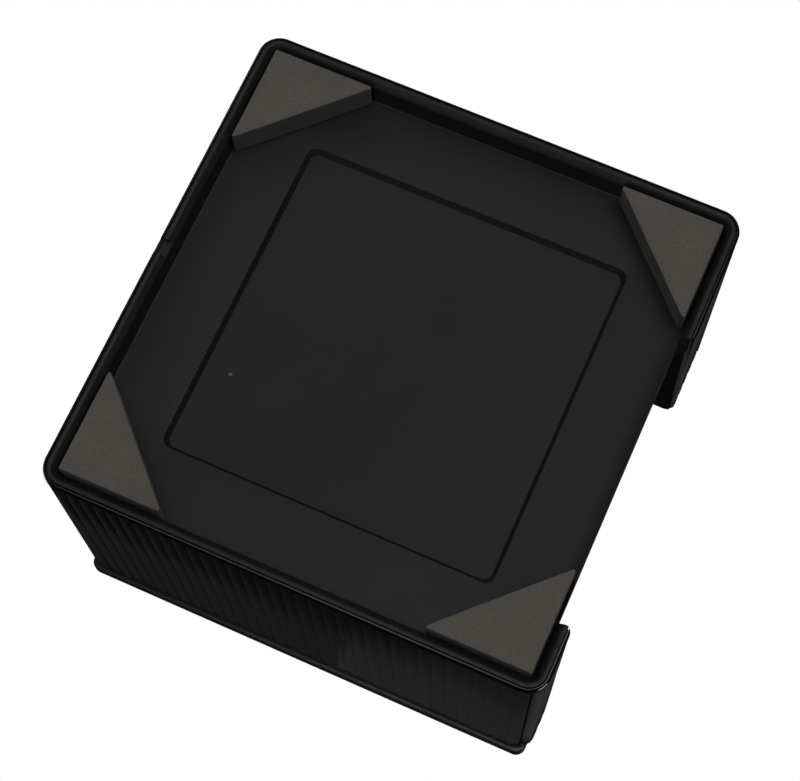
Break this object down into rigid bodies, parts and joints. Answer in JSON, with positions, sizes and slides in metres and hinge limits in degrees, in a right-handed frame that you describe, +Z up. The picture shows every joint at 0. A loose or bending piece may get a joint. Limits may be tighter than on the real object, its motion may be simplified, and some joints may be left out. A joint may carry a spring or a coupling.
{
  "type": "bench demagnetizer",
  "caption": "Square ribbed case with foam feet, a watch platform over an upright coil, a push button and lamp on top, and a mains inlet and rocker switch in a rear bay.",
  "frame": {"origin": "centre of the footprint at the underside of the foam feet", "axes": "+Z up, +Y towards the rear bay, +X to the right seen from the front"},
  "size_m": [0.081, 0.08, 0.056],
  "materials": {
    "gloss_black": "gloss, fluted walls",
    "satin_black": "satin moulded",
    "foam": "fine closed-cell foam",
    "mat": "soft matt rubber",
    "steel": "zinc plated",
    "button_red": "gloss moulded",
    "lens_red": "clear tinted",
    "component_black": "moulded",
    "nylon": "natural nylon",
    "board_green": "solder mask",
    "capacitor_sleeve": "shrink sleeve",
    "aluminium": "bare",
    "fuse_glass": "clear",
    "brass": "bright",
    "copper": "enamelled wire",
    "core_steel": "silicon steel stack",
    "wire_red": "PVC sleeve",
    "wire_black": "PVC sleeve",
    "wire_yellow": "PVC sleeve"
  },
  "bodies": {
    "case": {"ribbed_shell": "gloss_black", "button_bezel": "gloss_black", "base_tray": "satin_black", "top_cover": "satin_black", "rear_panel": "satin_black", "mains_inlet": "satin_black", "rocker_housing": "satin_black", "foam_foot_front_left": "foam", "foam_foot_front_right": "foam", "foam_foot_rear_left": "foam", "foam_foot_rear_right": "foam", "watch_mat": "mat", "case_screw_front_left": "steel", "case_screw_front_right": "steel", "case_screw_rear_left": "steel", "case_screw_rear_right": "steel", "coil_screw_front_left": "steel", "coil_screw_front_right": "steel", "coil_screw_rear_left": "steel", "coil_screw_rear_right": "steel", "board_screw_front_left": "steel", "board_screw_front_right": "steel", "board_screw_rear_left": "steel", "board_screw_rear_right": "steel", "button_spring": "steel", "indicator_lens": "lens_red", "indicator_led": "lens_red", "switch_body": "component_black", "power_triac": "component_black", "led_spacer": "nylon", "terminal_block": "nylon", "coil_bobbin": "nylon", "circuit_board": "board_green", "ring_capacitor": "capacitor_sleeve", "heat_sink": "aluminium", "fuse_tube": "fuse_glass", "fuse_clip_left": "brass", "fuse_clip_right": "brass", "inlet_pin_left": "brass", "inlet_pin_right": "brass", "rocker_terminal_lower": "brass", "rocker_terminal_upper": "brass", "coil_winding": "copper", "core_laminations": "core_steel", "bridge_lead": "wire_red", "live_lead": "wire_red", "neutral_lead": "wire_black", "coil_lead_start": "wire_yellow", "coil_lead_end": "wire_yellow"},
    "button": {"push_button": "button_red"},
    "plunger": {"switch_plunger": "nylon"},
    "rocker": {"power_rocker": "gloss_black"}
  },
  "joints": [
    {"name": "button_press", "type": "slide", "parent": "case", "child": "button", "axis": [0, 0, -1], "range_m": [0, 0.002], "stiffness_N_per_m": 400, "springref_m": -0.001, "deforming": ["button_spring"]},
    {"name": "plunger_travel", "type": "slide", "parent": "case", "child": "plunger", "axis": [0, 0, -1], "range_m": [0, 0.002]},
    {"name": "rocker_tilt", "type": "hinge", "parent": "case", "child": "rocker", "pos_m": [0.008, 0.0332, 0.024], "axis": [1, 0, 0], "range_deg": [0, 16]}
  ],
  "couplings": [
    {"joint": "plunger_travel", "follows": "button_press", "ratio": 1}
  ]
}
